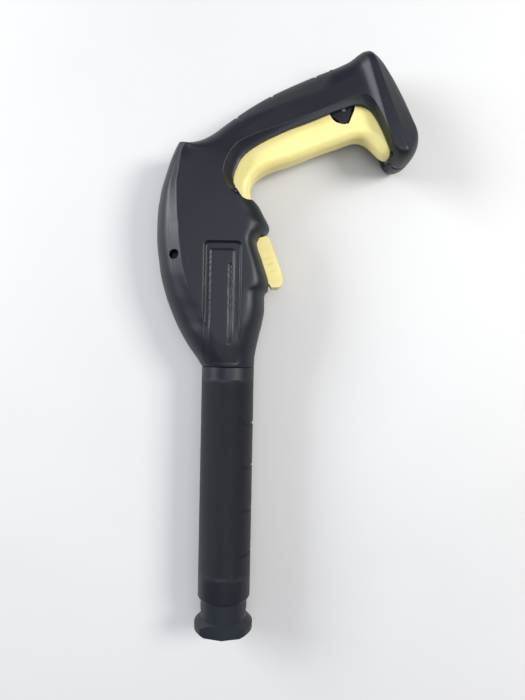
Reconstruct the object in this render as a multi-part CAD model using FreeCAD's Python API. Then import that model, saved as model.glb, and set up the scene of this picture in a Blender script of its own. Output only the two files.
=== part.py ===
import FreeCAD, Part
import math
import os

os.makedirs("parts", exist_ok=True)
V = FreeCAD.Vector

# ---------------------------------------------------------------- driving dimensions (mm)
# +X muzzle, +Y handle side, +Z across the gun.  Origin: mouth of the lance socket.
WALL = 2.6                 # housing wall
HALF_THICK = 25.5          # body plateau above the parting plane
SLEEVE_R = 21.0            # barrel sleeve outside radius
SEAM_X = -212.0            # body / sleeve seam
SLEEVE_END_X = -26.5
NECK_R = 18.6              # lance socket neck
RING_R = 23.4              # lance socket collar
SOCKET_R = 13.0            # bore that takes the lance
SOCKET_DEPTH = 24.0
SEAL_BORE_R = 5.6          # inner bore that seals on the lance tip
PIPE_R = 5.2               # outlet pipe outside radius
PIPE_BORE = 3.0
STEM_R = 2.0
RUN = 0.06                 # running clearance on a radius
SEAT_X = -307.0            # valve seat face
VALVE_LIFT = 2.1
PIVOT = V(-356.0, -22.0, 0)        # trigger pivot
PIVOT_R = 2.5
TRIG_HALF = 12.0           # trigger half width
SLOT_HALF = 12.6           # slot in the handle for it
FINGER_R = 7.0             # rounding of the finger face
PORT = V(-332.6, 24.6, 0)          # hose port face centre
A = V(-0.38, 0.925, 0)             # port axis, out of the gun
A.normalize()
B = V(A.y, -A.x, 0)                # across the port axis, towards the muzzle
PORT_R = 5.6
NUB_R = 13.4                 # round boss the port sits in
NUB_PROUD = 1.2
ROCK = V(-308.0, 15.5, 0)          # release button pivot
ROCK_R = 1.5
LOCK = V(-416.5, 88.0, 0)          # trigger lock pivot
LOCK_R = 1.5
Z = V(0, 0, 1)
X = V(1, 0, 0)


# ---------------------------------------------------------------- helpers
def save(shape, name):
    shape = shape.removeSplitter() if len(shape.Solids) == 1 else shape
    shape.exportStep("parts/%s.step" % name)


def cyl(r, p0, p1):
    d = p1 - p0
    return Part.makeCylinder(r, d.Length, p0, d)


def cylx(r, x0, x1):
    return cyl(r, V(x0, 0, 0), V(x1, 0, 0))


def cylz(r, p, z0, z1):
    return cyl(r, V(p.x, p.y, z0), V(p.x, p.y, z1))


def tube(ro, ri, p0, p1):
    d = (p1 - p0).normalize() * 1.0
    return cyl(ro, p0, p1).cut(cyl(ri, p0 - d, p1 + d))


def box(x0, x1, y0, y1, z0, z1):
    return Part.makeBox(x1 - x0, y1 - y0, z1 - z0, V(x0, y0, z0))


def spline_wire(pts, closed=False):
    c = Part.BSplineCurve()
    c.interpolate(pts, closed) if closed else c.interpolate(pts)
    return c.toShape()


def prism(edges, z0, z1):
    f = Part.Face(Part.Wire(Part.__sortEdges__(edges)))
    f.translate(V(0, 0, z0))
    return f.extrude(V(0, 0, z1 - z0))


def poly(pts, z0, z1):
    w = Part.makePolygon([V(x, y, z0) for x, y in pts] + [V(pts[0][0], pts[0][1], z0)])
    return Part.Face(w).extrude(V(0, 0, z1 - z0))


def mirror_z(s):
    return s.mirror(V(0, 0, 0), Z)


def fuse(shapes):
    s = shapes[0]
    return s.multiFuse(shapes[1:]) if len(shapes) > 1 else s


def torus(major, minor, p, axis):
    return Part.makeTorus(major, minor, p, axis)


def on_port(t, s=0.0, z=0.0):
    """A point t along the port axis from its face, s across it."""
    return PORT + A * t + B * s + V(0, 0, z)


def port_box(t0, t1, s0, s1, z0, z1):
    pts = [on_port(t0, s0), on_port(t1, s0), on_port(t1, s1), on_port(t0, s1)]
    return poly([(p.x, p.y) for p in pts], z0, z1)


def spring(r, wire, p0, p1, turns, ends=1.0):
    """Compression spring with a closed coil at each end, between p0 and p1."""
    L = (p1 - p0).Length
    d = (p1 - p0).normalize()
    u = d.cross(Z) if abs(d.z) < 0.9 else d.cross(X)
    u.normalize()
    w = d.cross(u)
    n = int((turns + 2 * ends) * 12)
    pts = []
    for i in range(n + 1):
        q = i / 12.0
        total = turns + 2 * ends
        if q < ends:
            h = wire + q / ends * 2.02 * wire
        elif q > total - ends:
            h = L - wire - (total - q) / ends * 2.02 * wire
        else:
            k = (q - ends) / turns
            h = 3.02 * wire + k * (L - 6.04 * wire)
        a = 2 * math.pi * q
        pts.append(p0 + d * h + u * (r * math.cos(a)) + w * (r * math.sin(a)))
    path = Part.Wire(spline_wire(pts))
    tan = (pts[1] - pts[0]).normalize()
    prof = Part.Wire(Part.makeCircle(wire, pts[0], tan))
    return path.makePipeShell([prof], True, True)


# ---------------------------------------------------------------- housing form
# outer point, inner point, half height, (run, power) on the outer and the inner side
BODY = [
    ((-212.0, -21.0), (-212.0, 21.0), 21.0, 21.0, 2.0, 21.0, 2.0),
    ((-222.2, -28.0), (-222.0, 21.6), 23.0, 23.0, 1.9, 21.0, 2.0),
    ((-238.8, -38.4), (-236.5, 23.6), 25.4, 24.0, 1.7, 21.0, 2.1),
    ((-256.9, -46.6), (-255.0, 27.4), 26.3, 25.0, 1.6, 20.0, 2.2),
    ((-274.7, -52.8), (-273.0, 29.0), 26.5, 25.0, 1.55, 17.0, 2.3),
    ((-295.7, -56.8), (-294.0, 26.5), 26.5, 24.0, 1.5, 14.0, 2.4),
    ((-314.0, -58.7), (-314.0, 21.5), 26.5, 24.0, 1.5, 14.0, 2.4),
    ((-333.8, -58.5), (-334.0, 18.5), 26.5, 24.0, 1.5, 14.0, 2.4),
    ((-354.2, -55.5), (-348.5, 9.6), 26.5, 24.0, 1.5, 12.0, 3.0),
    ((-373.5, -49.8), (-357.5, 4.0), 26.5, 24.0, 1.6, 10.0, 4.0),
    ((-389.2, -43.2), (-365.4, 3.0), 26.2, 24.0, 1.8, 10.0, 4.5),
]
HANDLE = [
    ((-389.2, -43.2), (-365.4, 3.0), 26.2, 24.0, 1.8, 10.0, 4.5),
    ((-390.2, -30.2), (-371.0, 3.8), 25.4, 22.0, 1.9, 10.0, 4.5),
    ((-394.4, -20.0), (-376.5, 5.6), 23.6, 20.0, 2.0, 10.0, 4.5),
    ((-403.2, -7.9), (-383.0, 9.6), 22.0, 18.0, 2.0, 10.0, 4.5),
    ((-414.6, 6.4), (-390.5, 18.0), 20.2, 17.0, 2.0, 11.0, 4.5),
    ((-422.8, 18.4), (-396.6, 29.0), 18.8, 17.0, 2.0, 12.0, 4.5),
    ((-429.8, 30.8), (-402.6, 42.6), 18.0, 17.0, 2.0, 12.0, 4.5),
    ((-437.8, 46.7), (-409.0, 58.6), 17.6, 17.0, 2.0, 12.0, 4.5),
    ((-446.0, 64.9), (-415.2, 75.4), 17.6, 17.0, 2.0, 13.0, 4.5),
    ((-453.2, 82.2), (-420.4, 92.0), 18.2, 17.0, 2.0, 14.0, 4.5),
    ((-457.6, 91.8), (-422.0, 104.0), 19.6, 18.0, 2.0, 15.0, 4.5),
    ((-461.6, 98.6), (-419.6, 117.0), 22.2, 19.0, 2.2, 16.0, 4.5),
]


def section(st, inset):
    (ox, oy), (ix, iy), h, ro, no, ri, ni = st
    o, i = V(ox, oy, 0), V(ix, iy, 0)
    d = (i - o)
    w = d.Length
    d.normalize()
    o, w, h = o + d * inset, w - 2 * inset, h - inset
    scale = min(1.0, 0.995 * w / (ro + ri))
    ro, ri = ro * scale, ri * scale
    pts = []
    for k in range(7):
        a = k / 6.0 * math.pi / 2
        pts.append((ro * (1 - math.cos(a) ** (2.0 / no)), h * math.sin(a) ** (2.0 / no)))
    for k in range(6, -1, -1):
        a = k / 6.0 * math.pi / 2
        pts.append((w - ri * (1 - math.cos(a) ** (2.0 / ni)), h * math.sin(a) ** (2.0 / ni)))
    if (w - ri) - ro > 2.0:
        pts.insert(7, (0.5 * (w - ri + ro), h))
    else:
        pts[7] = (0.5 * (w - ri + ro), h)
        pts[6] = (0.5 * (pts[5][0] + pts[7][0]), 0.35 * pts[5][1] + 0.65 * h)
        pts.insert(8, (0.5 * (pts[7][0] + pts[8][0]), 0.35 * pts[8][1] + 0.65 * h))
    low = -1.0
    top = spline_wire([o + d * x + Z * z for x, z in pts])
    s, e = o, o + d * w
    return Part.Wire([
        top,
        Part.makeLine(e, e + Z * low),
        Part.makeLine(e + Z * low, s + Z * low),
        Part.makeLine(s + Z * low, s),
    ])


def loft(stations, inset):
    s = Part.makeLoft([section(st, inset) for st in stations], True, False)
    return s


def racetrack(t, u0, u1, h, n=2.6):
    """Closed half section of the butt, t along the port axis direction."""
    c, a = 0.5 * (u0 + u1), 0.5 * (u1 - u0)
    pts = []
    for k in range(13):
        f = math.pi * k / 12.0
        x = -math.cos(f)
        sx = math.copysign(abs(x) ** (2.0 / n), x)
        pts.append(B * (c + a * sx) + A * t + Z * (h * math.sin(f) ** (2.0 / n)))
    s, e = pts[0], pts[-1]
    low = V(0, 0, -1.0)
    return Part.Wire([
        spline_wire(pts),
        Part.makeLine(e, e + low),
        Part.makeLine(e + low, s + low),
        Part.makeLine(s + low, s),
    ])


# distance along the handle axis, first and last point across it, half height
BUTT = [
    (258.5, -387.0, -303.0, 22.6),
    (264.0, -388.8, -296.8, 24.8),
    (270.5, -389.3, -294.5, 25.2),
    (277.0, -387.2, -296.8, 21.0),
    (283.6, -369.0, -302.0, 14.6),
    (288.4, -341.0, -310.0, 9.0),
]


def butt(inset):
    ws = []
    for n, (t, u0, u1, h) in enumerate(BUTT):
        tt = t
        if n == 0:
            tt = t + inset
        if n == len(BUTT) - 1:
            tt = t - inset
        ws.append(racetrack(tt, u0 + inset, u1 - inset, h - inset))
    return Part.makeLoft(ws, True, True)


below = box(-520, 60, -120, 220, -30, 0)


outer = fuse([loft(BODY, 0), loft(HANDLE, 0), butt(0), cyl(NUB_R, on_port(-30), on_port(NUB_PROUD))])
outer = outer.cut(below).cut(box(-520, 60, -120, 220, HALF_THICK, 40))
cavity = fuse([loft(BODY, WALL), loft(HANDLE, WALL), butt(WALL)])
cavity = cavity.cut(box(-226, -200, -40, 40, -5, 40)).cut(box(-520, 60, -120, 220, HALF_THICK - WALL, 40))
print("outer", outer.isValid(), len(outer.Solids), "cavity", cavity.isValid(), len(cavity.Solids))

# the slot the trigger swings in: a band either side of the handle's front edge
SLOT_FRONT = [(-342.0, 9.0), (-341.6, 13.6), (-342.6, 18.4), (-348.0, 30.0), (-360.0, 32.0), (-372.0, 48.0),
              (-385.0, 84.0), (-388.0, 104.0), (-378.6, 116.0), (-379.4, 130.4)]
SLOT_BACK = [(-404.0, 134.0), (-428.0, 122.0), (-436.0, 104.0), (-430.0, 82.0), (-415.0, 48.0),
             (-398.0, 16.0), (-384.0, 0.0), (-372.0, -6.0), (-350.0, -6.0), (-346.0, 5.4)]
slot = poly(SLOT_FRONT + SLOT_BACK, -1.0, SLOT_HALF)

# recess for the release button in the front of the body
BTN_POCKET = [(-319.0, 36.0), (-316.2, 24.6), (-312.0, 12.0), (-274.0, 20.0), (-273.6, 48.0)]
pocket = poly(BTN_POCKET, -1.0, 9.6)

shell = outer.cut(cavity)
shell = shell.cut(cylx(6.5, -240.0, -205.0))                         # way through for the outlet pipe
shell = shell.cut(slot).cut(pocket)
shell = shell.cut(cyl(10.9, on_port(-40), on_port(5)))
shell = shell.cut(port_box(-14.0, -3.4, 9.0, 24.0, -1.0, 4.2))      # way in for the latch hook
print("shell", shell.isValid(), len(shell.Solids))


# ---------------------------------------------------------------- bosses and ribs inside the halves
def inside(shape):
    """Keep only what lies within the outer form and above the parting plane."""
    return shape.common(outer)


ribs = []
for x in (-331.0, -315.0, -297.0):                       # saddles that hold the valve body
    r = box(x - 1.2, x + 1.2, -24.0, 15.5, 0, 26).cut(cylx(10.6, x - 5, x + 5))
    ribs.append(r.cut(cyl(11.2, on_port(-40), on_port(5))).cut(pocket))
for x in (-268.0, -236.0):                               # saddles for the pipe
    ribs.append(box(x - 1.2, x + 1.2, -22.0, 18.0, 0, 25).cut(cylx(PIPE_R + 0.1, x - 5, x + 5)))
ribs.append(tube(17.8, 6.5, V(-214, 0, 0), V(-211, 0, 0)).cut(below))
spigot = tube(17.9, 15.4, V(-214, 0, 0), V(-190, 0, 0)).cut(below)
for q in (-1, 1):                                        # keys that stop the sleeve turning
    spigot = spigot.fuse(box(-205, -196, q * 18.3 - 0.9, q * 18.3 + 0.9, 0, 3.0))
ribs.append(poly([(-381.3, -23.2), (-392.7, -19.6), (-396.0, -23.0), (-382.1, -25.8)], 0, 26))
ribs.append(box(-287.0, -277.0, 16.6, 18.6, 0, 26))     # seat of the button spring
bosses = [cylz(5.2, PIVOT, 9.4, 26), cylz(3.4, ROCK, 8.0, 26)]
holes = [cylz(PIVOT_R + 0.02, PIVOT, -1, 19.0), cylz(ROCK_R + 0.02, ROCK, -1, 14.0)]

SCREWS = [V(-298.5, -41.9, 0), V(-376.0, -36.0, 0), V(-240.0, -27.5, 0), V(-331.0, -42.0, 0),
          V(-447.5, 78.0, 0), V(-384.0, 137.5, 0)]
posts = [cylz(4.6, p, 0, 26) for p in SCREWS]


def half(side):
    """side +1: left half (screw holes clear), -1: right half."""
    parts = [shell] + [inside(r) for r in ribs] + [spigot]
    parts += [inside(b) for b in bosses] + [inside(p) for p in posts]
    s = fuse(parts)
    for h in holes:
        s = s.cut(h)
    for n, p in enumerate(SCREWS):
        head_here = (n == 0) == (side > 0)
        if head_here:
            s = s.cut(cylz(3.75, p, 9.0, 30)).cut(cylz(2.0, p, -1, 30))
        else:
            s = s.cut(cylz(1.62, p, -1, 10.5))
    return s


left = half(1)
right = mirror_z(half(-1))

# shallow sunk panel on each side, open towards the barrel
PANEL_CUT = box(-307.0, -222.0, -15.0, 8.0, 24.4, 30.0)
PLATE = box(-304.0, -232.0, -12.0, 5.0, 23.0, 25.1)
left = left.cut(PANEL_CUT).fuse(PLATE)
right = right.cut(mirror_z(PANEL_CUT)).fuse(mirror_z(PLATE))
print("halves", left.isValid(), len(left.Solids), right.isValid(), len(right.Solids),
      left.BoundBox, right.BoundBox)
save(left, "housing_left")
save(right, "housing_right")


# ---------------------------------------------------------------- barrel sleeve
def sleeve():
    s = tube(SLEEVE_R, SLEEVE_R - 3.0, V(SEAM_X + 0.3, 0, 0), V(SLEEVE_END_X, 0, 0))
    front = [e for e in s.Edges if abs(e.CenterOfMass.x - SLEEVE_END_X) < 0.01
             and abs(e.Curve.Radius - SLEEVE_R) < 0.01]
    s = s.makeFillet(2.2, front)
    back = [e for e in s.Edges if abs(e.CenterOfMass.x - SEAM_X - 0.3) < 0.01
            and abs(e.Curve.Radius - SLEEVE_R) < 0.01]
    s = s.makeFillet(0.5, back)
    for x in (-167.0, -133.0, -98.5, -64.0):             # finger grooves under the barrel
        g = Part.makeTorus(SLEEVE_R + 0.5, 1.5, V(x, 0, 0), X)
        s = s.cut(g.common(box(x - 4, x + 4, 13.6, 30, -20, 20)))
    for q in (-1, 1):                                    # slots for the housing keys
        s = s.cut(box(-213, -195.5, q * 18.4 - 1.1, q * 18.4 + 1.1, -3.1, 3.1))
    for q in (-1, 1):                                    # slots for the lance socket keys
        s = s.cut(box(-40.5, -26.0, -3.1, 3.1, q * 18.2 - 1.1, q * 18.2 + 1.1))
    return s


# ---------------------------------------------------------------- lance socket
def lance_socket():
    prof = [(-52.0, 8.0), (-52.0, 17.9), (-26.3, 17.9), (-26.3, NECK_R), (-11.0, NECK_R),
            (-9.0, 21.0), (-6.5, RING_R), (-2.0, RING_R), (0.0, 21.6), (0.0, 8.0)]
    w = Part.makePolygon([V(x, r, 0) for x, r in prof] + [V(prof[0][0], prof[0][1], 0)])
    s = Part.Face(w).revolve(V(0, 0, 0), X, 360)
    solid = s.fuse(cylx(8.5, -52.0, 0.0))
    # the collar is a wing on each Y side; the Z sides are two flat facets with a ridge
    for q in (-1, 1):
        for r in (-1, 1):
            g = box(-26.2, 2.0, -40.0, 40.0, 20.0, 45.0)
            g.rotate(V(0, 0, 20.0), X, -14 * r)
            if q < 0:
                g = g.mirror(V(0, 0, 0), Z)
            solid = solid.cut(g)
    for q in (-1, 1):                                    # scooped recesses behind the collar
        solid = solid.cut(cyl(5.0, V(-14.5, q * 22.3, -9.5), V(-14.5, q * 22.3, 9.5)))
    solid = solid.cut(cylx(SOCKET_R, -SOCKET_DEPTH, 1.0))
    for q in (0, 180):                                   # bayonet entry slots and turned pockets
        entry = box(-SOCKET_DEPTH, 1, 0, 16.2, -3.4, 3.4)
        entry.rotate(V(0, 0, 0), X, 90 + q)
        lock = tube(16.2, 10.0, V(-17.5, 0, 0), V(-11.5, 0, 0))
        keep = box(-20, -10, -20, 20, 0, 20)
        keep2 = box(-20, -10, -20, 20, 0, 20)
        keep2.rotate(V(0, 0, 0), X, -130)
        lock = lock.common(keep).common(keep2)
        lock.rotate(V(0, 0, 0), X, q + 5)
        solid = solid.cut(entry).cut(lock)
    solid = solid.cut(cylx(SEAL_BORE_R, -38.0, 1.0))
    solid = solid.cut(tube(7.55, 1.0, V(-31.6, 0, 0), V(-29.0, 0, 0)))
    solid = solid.cut(cylx(3.2, -60.0, 1.0))
    solid = solid.cut(cylx(PIPE_R + 0.05, -60.0, -42.0))
    for q in (-1, 1):
        solid = solid.fuse(box(-38.0, -30.0, -2.9, 2.9, q * 18.4 - 0.8, q * 18.4 + 0.8))
    return solid


# ---------------------------------------------------------------- outlet pipe and its parts
def outlet_pipe():
    s = tube(PIPE_R, PIPE_BORE, V(-299.8, 0, 0), V(-42.4, 0, 0))
    for x in (-296.0, -46.5):                            # O-ring grooves
        s = s.cut(tube(PIPE_R + 1, PIPE_R - 1.1, V(x - 1.2, 0, 0), V(x + 1.2, 0, 0)))
    s = s.cut(tube(PIPE_R + 1, PIPE_R - 0.9, V(-291.1, 0, 0), V(-288.9, 0, 0)))
    return s


def o_ring(minor, groove_r, p, axis):
    return torus(groove_r + minor, minor, p, axis)


PIPE_RING = 0.57
pipe_o_rings = Part.makeCompound([o_ring(PIPE_RING, PIPE_R - 1.1, V(x, 0, 0), X)
                                  for x in (-296.0, -46.5)])


def spacer(x):
    s = tube(17.95, PIPE_R + 0.03, V(x - 2.0, 0, 0), V(x + 2.0, 0, 0))
    for k in range(6):
        a = math.radians(60 * k + 30)
        s = s.cut(cylx(3.4, x - 5, x + 5).translate(V(0, 11.4 * math.cos(a), 11.4 * math.sin(a))))
    return s


# ---------------------------------------------------------------- valve body
def valve_body():
    s = cylx(9.4, -344.0, -330.0).fuse(cylx(10.5, -338.0, -284.0))
    s = s.fuse(cyl(10.8, on_port(-26.5), on_port(0.0)))
    s = s.cut(cylx(6.5, -345.0, -302.0))                 # valve chamber, seat counterbore
    s = s.cut(cylx(4.0, -302.5, -299.9))
    s = s.cut(cylx(PIPE_R + 0.05, -300.0, -283.0))       # pipe socket
    s = s.cut(cyl(3.6, on_port(-26.5), on_port(-10)))   # inlet passage
    s = s.cut(cyl(8.4, on_port(-15.6), on_port(1.0)))    # pocket for the inlet bushing
    s = s.cut(port_box(-10.2, -4.2, 4.0, 14.0, -3.2, 3.2))   # window for the latch hook
    s = s.cut(box(-291.0, -289.0, -12.0, 12.0, 4.35, 6.15))  # legs of the pipe clip
    s = s.cut(box(-291.0, -289.0, -12.0, 12.0, -6.15, -4.35))
    return s


def pipe_clip():
    legs = [box(-290.9, -289.1, -9.0, 12.6, q * 5.25 - 0.85, q * 5.25 + 0.85) for q in (-1, 1)]
    s = legs[0].fuse(legs[1]).fuse(box(-290.9, -289.1, 10.9, 12.6, -6.1, 6.1))
    return s.cut(cylx(PIPE_R - 0.88, -300, -280))


def inlet_bushing():
    s = tube(8.35, PORT_R, on_port(-15.5), on_port(-0.4))
    s = s.cut(tube(PORT_R + 1.9, PORT_R - 1, on_port(-14.3), on_port(-11.7)))
    s = s.cut(port_box(-10.2, -4.2, 3.0, 12.0, -3.0, 3.0))
    e = [e for e in s.Edges if e.Curve.TypeId == "Part::GeomCircle"
         and abs(e.Curve.Radius - PORT_R) < 0.01 and (e.Curve.Center - on_port(-0.4)).Length < 0.1]
    return s.makeChamfer(0.8, e)


# ---------------------------------------------------------------- valve train on the barrel axis
def valve_seat():
    s = tube(6.46, 2.8, V(-307.0, 0, 0), V(-302.05, 0, 0))
    c = Part.makeCone(3.3, 2.7, 0.6, V(-307.0, 0, 0), X)
    return s.cut(c)


def valve_poppet():
    s = cylx(5.4, -313.5, -308.6)
    s = s.fuse(cylx(2.15, -308.6, -306.0))
    for k in range(4):
        a = math.radians(90 * k + 45)
        s = s.cut(cylx(1.4, -316, -306).translate(V(0, 5.9 * math.cos(a), 5.9 * math.sin(a))))
    return s.cut(cylx(STEM_R + 0.01, -320, -309.5))


def poppet_seal():
    return tube(4.8, 2.2, V(-308.55, 0, 0), V(-307.05, 0, 0))


def valve_stem():
    s = cylx(STEM_R, -363.5, -309.5)
    return s.cut(tube(STEM_R + 1, STEM_R - 0.5, V(-361.4, 0, 0), V(-360.2, 0, 0)))


def stem_collar():
    s = tube(3.8, STEM_R + 0.02, V(-362.2, 0, 0), V(-358.2, 0, 0))
    return s


def gland_nut():
    s = cylx(6.3, -344.0, -333.5)
    corners = [math.radians(60 * k + 30) for k in range(7)]
    hexa = [V(-349.0, 7.3 * math.cos(a), 7.3 * math.sin(a)) for a in corners]
    s = s.fuse(Part.Face(Part.makePolygon(hexa)).extrude(V(5.0, 0, 0)))
    s = s.cut(cylx(STEM_R + RUN, -360, -320))
    return s.cut(cylx(4.1, -336.6, -333.0))


def stem_o_ring():
    return torus(3.06, 0.98, V(-335.4, 0, 0), X)


def gland_washer():
    return tube(6.2, STEM_R + 0.1, V(-333.45, 0, 0), V(-332.65, 0, 0))


# ---------------------------------------------------------------- trigger
TRIG_OUT = [(-343.2, 15.4), (-342.7, 13.4), (-344.0, 10.8), (-348.4, 7.4), (-355.0, 3.6), (-364.0, 0.6),
            (-376.0, 1.0), (-389.0, 9.4), (-401.0, 27.0), (-413.0, 52.0), (-423.5, 78.0),
            (-429.5, 96.0), (-429.0, 107.5), (-419.0, 117.5), (-402.0, 126.0), (-388.5, 131.0)]
TRIG_IN = [(-382.8, 127.6), (-383.8, 121.6), (-387.6, 116.6), (-391.8, 112.2), (-395.6, 106.6),
           (-396.8, 101.0), (-395.6, 95.0), (-392.8, 87.6), (-386.8, 71.6), (-380.0, 55.4),
           (-374.0, 39.2), (-368.8, 26.4), (-363.0, 19.2), (-355.8, 15.4), (-350.6, 15.3),
           (-346.4, 16.4)]


def trigger_outline():
    a = [V(x, y, 0) for x, y in TRIG_OUT]
    b = [V(x, y, 0) for x, y in TRIG_IN]
    return [spline_wire(a), Part.makeLine(a[-1], b[0]), spline_wire(b), Part.makeLine(b[-1], a[0])]


def trigger():
    s = prism(trigger_outline(), -TRIG_HALF, TRIG_HALF)
    ends = [V(*TRIG_IN[0], 0), V(*TRIG_IN[-1], 0)]
    front = [e for e in s.Edges if abs(abs(e.CenterOfMass.z) - TRIG_HALF) < 0.01
             and all(min((v.Point - V(0, 0, v.Point.z) - p).Length for v in e.Vertexes) < 0.1 for p in ends)]
    s = s.makeFillet(FINGER_R, front)
    # hollow from the back
    depth = [V(x, y, 0) for x, y in TRIG_OUT[2:]]
    face = [V(-361.0, 11.9, 0), V(-366.6, 14.6, 0), V(-372.0, 22.0, 0), V(-377.4, 37.4, 0),
            V(-383.4, 53.4, 0), V(-390.2, 69.4, 0), V(-396.6, 86.2, 0), V(-400.4, 97.0, 0),
            V(-400.6, 104.0, 0), V(-397.0, 111.6, 0), V(-391.6, 118.0, 0), V(-389.0, 123.4, 0)]
    back = [V(-392.0, 140.0, 0), V(-430.0, 130.0, 0), V(-445.0, 105.0, 0), V(-430.0, 60.0, 0),
            V(-400.0, 5.0, 0), V(-380.0, -12.0, 0), V(-361.0, -8.0, 0)]
    rim = Part.makePolygon([face[-1]] + back + [face[0]]).Edges
    cut = prism([spline_wire(face)] + rim, -9.4, 9.4)
    s = s.cut(cut)
    # cross ribs inside
    for p, q in (((-384.0, 50.0), (-412.0, 46.0)), ((-396.0, 84.0), (-424.0, 82.0))):
        d = V(q[0] - p[0], q[1] - p[1], 0).normalize()
        n = V(-d.y, d.x, 0) * 1.0
        pts = [V(*p, 0) + n - d * 2, V(*q, 0) + n, V(*q, 0) - n, V(*p, 0) - n - d * 2]
        rib = poly([(v.x, v.y) for v in pts], -9.6, 9.6)
        keep = prism(trigger_outline(), -9.6, 9.6)
        s = s.fuse(rib.common(keep))
    # arms to the hidden pivot
    arm = [(-350.4, 9.6), (-352.6, -6.0), (-350.4, -22.0), (-353.0, -27.0), (-359.0, -27.0),
           (-362.2, -22.0), (-366.0, -8.0), (-372.0, 4.0), (-366.0, 12.0), (-356.0, 13.0)]
    for q in (-1, 1):
        z0, z1 = (4.3, 9.2) if q > 0 else (-9.2, -4.3)
        s = s.fuse(poly(arm, z0, z1))
    s = s.fuse(cylz(6.0, PIVOT, -9.2, 9.2))
    s = s.cut(box(-367.0, -351.0, -8.0, 5.6, -4.2, 4.2))       # tunnel for the stem and its collar
    # fork that pulls the stem collar
    fork = box(-358.1, -354.4, -5.5, 5.5, -9.0, 9.0).cut(box(-359, -353, -8, 8, -2.4, 2.4))
    s = s.fuse(fork)
    s = s.cut(cylz(PIVOT_R + RUN, PIVOT, -12, 12))
    # spring seat between the side walls
    s = s.fuse(poly([(-373.0, 2.5), (-384.5, 6.2), (-385.4, 9.2), (-373.9, 5.5)], -9.6, 9.6))
    # notch for the lock, and the two lugs its pin sits in
    notch = round_lock(11.4, -96, 18) + [(-405.6, 92.4), (-416.0, 96.4), (-434.0, 99.5), (-434.0, 72.0)]
    s = s.cut(poly(notch, -13, 13))
    for q in (-1, 1):
        z0, z1 = (6.2, 8.6) if q > 0 else (-8.6, -6.2)
        lug = cylz(3.4, LOCK, z0, z1).fuse(box(LOCK.x, -399.0, LOCK.y - 3.4, LOCK.y + 3.4, z0, z1))
        s = s.fuse(lug)
    s = s.cut(cylz(LOCK_R + 0.02, LOCK, -13, 13))
    return s


def round_lock(r, a0, a1, n=9):
    """Points on an arc about the lock's pin."""
    out = []
    for k in range(n + 1):
        a = math.radians(a0 + (a1 - a0) * k / n)
        out.append((LOCK.x + r * math.cos(a), LOCK.y + r * math.sin(a)))
    return out


def trigger_lock():
    body = [(-414.6, 77.4), (-410.7, 79.8), (-408.4, 83.8), (-406.4, 87.8), (-406.2, 90.6), (-408.6, 92.5),
            (-414.1, 93.9), (-418.9, 94.8), (-424.2, 91.0), (-424.6, 84.0), (-419.5, 79.0)]
    s = poly(body, -11.7, 11.7)
    tail = poly([(-424.0, 84.5), (-430.0, 85.5), (-430.0, 88.5), (-424.0, 91.0)], -5.6, 5.6)
    s = s.fuse(tail)
    for q in (-1, 1):                                    # room for the trigger's lugs
        z0, z1 = (5.9, 8.9) if q > 0 else (-8.9, -5.9)
        s = s.cut(cylz(3.8, LOCK, z0, z1))
        for turn in (0, 9, 18, 27):
            b = box(LOCK.x, LOCK.x + 16, LOCK.y - 3.7, LOCK.y + 3.7, z0, z1)
            b.rotate(LOCK, Z, turn)
            s = s.cut(b)
    return s.cut(cylz(LOCK_R + RUN, LOCK, -13, 13))


# ---------------------------------------------------------------- release button
BTN = [(-315.0, 23.6), (-316.4, 28.6), (-315.3, 31.2), (-309.0, 33.7), (-297.0, 38.2),
       (-289.5, 40.9), (-281.8, 42.8), (-277.8, 42.2), (-276.0, 39.6), (-275.7, 33.6),
       (-279.0, 31.6), (-279.4, 25.0), (-288.0, 21.0), (-300.0, 17.0)]


BTN_RIBS = [((-297.8, 28.2), (-299.8, 33.0)), ((-293.3, 31.0), (-295.1, 35.1)),
            ((-287.9, 32.9), (-289.6, 36.8))]


def release_button():
    s = poly(BTN, -9.0, 9.0)
    long_edges = [e for e in s.Edges if e.BoundBox.ZLength > 17
                  and (e.CenterOfMass.y > 25 or e.CenterOfMass.x > -277)]
    s = s.makeFillet(1.3, long_edges)
    hollow = [(-311.0, 10.0), (-311.6, 26.8), (-298.0, 32.2), (-288.0, 35.8), (-280.6, 38.0),
              (-281.2, 10.0)]
    s = s.cut(poly(hollow, -7.2, 7.2))
    hub = poly([(-313.5, 27.0), (-311.0, 14.0), (-306.0, 12.6), (-303.8, 16.5), (-304.5, 30.0)],
               -7.4, 7.4)
    s = s.fuse(hub)
    for q in (-1, 1):                                    # three grip ribs on each side face
        for (x0, y0), (x1, y1) in BTN_RIBS:
            s = s.fuse(cyl(0.45, V(x0, y0, q * 8.9), V(x1, y1, q * 8.9)))
    post = cyl(1.6, V(-284.4, 37.8, 0), V(-284.4, 33.0, 0))
    s = s.fuse(post)
    s = s.cut(port_box(-12.65, -6.15, 14.0, 20.55, -3.05, 3.05))
    return s.cut(cylz(ROCK_R + RUN, ROCK, -12, 12))


def latch_hook():
    """Steel hook riding the button: enters the bushing's window to hold the hose plug."""
    s = port_box(-9.4, -6.2, 5.8, 19.0, -2.6, 2.6)
    s = s.fuse(port_box(-12.6, -6.2, 18.0, 20.5, -3.0, 3.0))
    return s.makeChamfer(0.8, [e for e in s.Edges if (e.CenterOfMass - on_port(-6.2, 5.8)).Length < 0.1])


# ---------------------------------------------------------------- pins, springs, screws
def screws():
    out = []
    for n, p in enumerate(SCREWS):
        q = 1 if n == 0 else -1
        s = cylz(1.55, p, -9.8, 9.1).fuse(cylz(3.5, p, 9.1, 11.3))
        s = s.cut(box(p.x - 0.5, p.x + 0.5, p.y - 2.2, p.y + 2.2, 10.2, 12))
        s = s.cut(box(p.x - 2.2, p.x + 2.2, p.y - 0.5, p.y + 0.5, 10.2, 12))
        out.append(s if q > 0 else mirror_z(s))
    return Part.makeCompound(out)


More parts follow.
